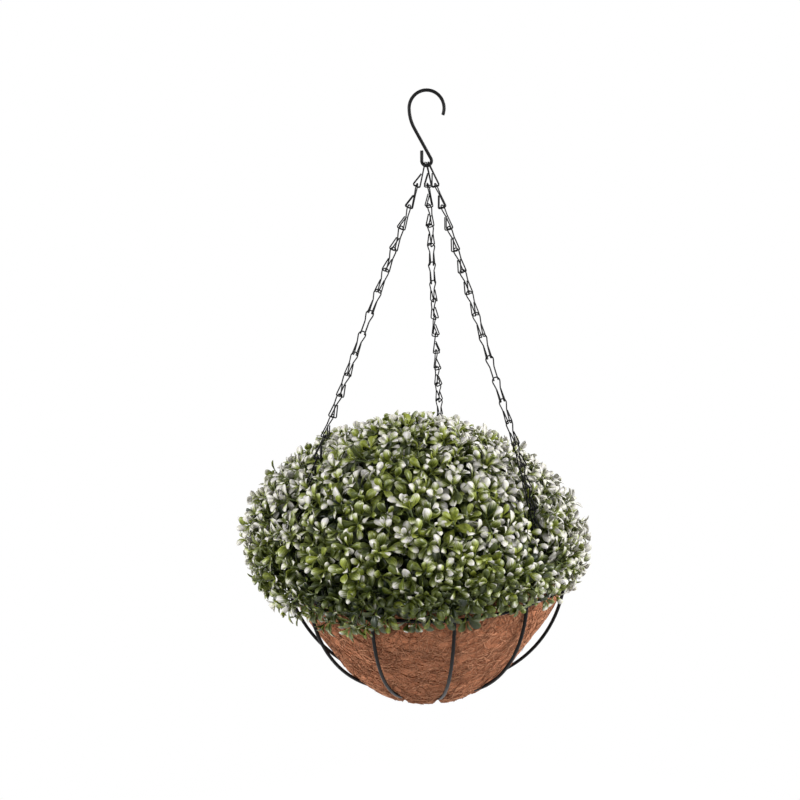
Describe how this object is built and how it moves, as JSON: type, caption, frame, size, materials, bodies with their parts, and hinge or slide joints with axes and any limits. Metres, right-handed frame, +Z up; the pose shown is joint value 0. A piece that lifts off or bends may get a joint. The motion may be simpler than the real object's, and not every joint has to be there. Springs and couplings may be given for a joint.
{
  "type": "hanging basket",
  "caption": "Round wire hanging basket with a coir liner and a ball of boxwood foliage, hung by three wire-link chains from an S hook.",
  "frame": {"origin": "the point inside the S hook's crook that bears on the bracket or rail", "axes": "+Z up; the hook lies in the X-Z plane; the front of the basket faces -Y"},
  "size_m": [0.3476, 0.3476, 0.6082],
  "materials": {
    "hook_wire": "black plastic-coated wire, satin",
    "chain_wire": "black coated thin wire, satin",
    "frame_wire": "black plastic-coated wire, satin",
    "coir": "matted reddish brown coconut fibre",
    "foam": "dark green foam",
    "leaves": "moulded boxwood leaves, green with cream tips"
  },
  "bodies": {
    "hook": {"s_hook": "hook_wire"},
    "basket": {"chain_right_top_link": "chain_wire", "chain_left_top_link": "chain_wire", "chain_rear_top_link": "chain_wire", "chain_right_lower_run": "chain_wire", "chain_left_lower_run": "chain_wire", "chain_rear_lower_run": "chain_wire", "rim_ring": "frame_wire", "rib_01": "frame_wire", "rib_02": "frame_wire", "rib_03": "frame_wire", "rib_04": "frame_wire", "rib_05": "frame_wire", "rib_06": "frame_wire", "rib_07": "frame_wire", "rib_08": "frame_wire", "rib_09": "frame_wire", "rib_10": "frame_wire", "rib_11": "frame_wire", "rib_12": "frame_wire", "base_ring": "frame_wire", "coir_liner": "coir", "foam_core": "foam", "foliage": "leaves"},
    "chain_right": {"chain_right_upper_run": "chain_wire"},
    "chain_left": {"chain_left_upper_run": "chain_wire"},
    "chain_rear": {"chain_rear_upper_run": "chain_wire"}
  },
  "joints": [
    {"name": "basket_swing", "type": "hinge", "parent": "hook", "child": "basket", "pos_m": [0, 0, -0.0676], "axis": [1, 0, 0], "range_deg": [-20, 20]},
    {"name": "chain_right_twist", "type": "hinge", "parent": "basket", "child": "chain_right", "pos_m": [0.00782, -0.00496, -0.08412], "axis": [-0.297, 0.2316, 0.9264], "range_deg": [-8, 8]},
    {"name": "chain_left_twist", "type": "hinge", "parent": "basket", "child": "chain_left", "pos_m": [-0.00888, -0.00312, -0.08412], "axis": [0.3467, 0.1456, 0.9266], "range_deg": [-8, 8]},
    {"name": "chain_rear_twist", "type": "hinge", "parent": "basket", "child": "chain_rear", "pos_m": [0.00106, 0.00807, -0.08474], "axis": [-0.0497, -0.3773, 0.9248], "range_deg": [-8, 8]}
  ]
}
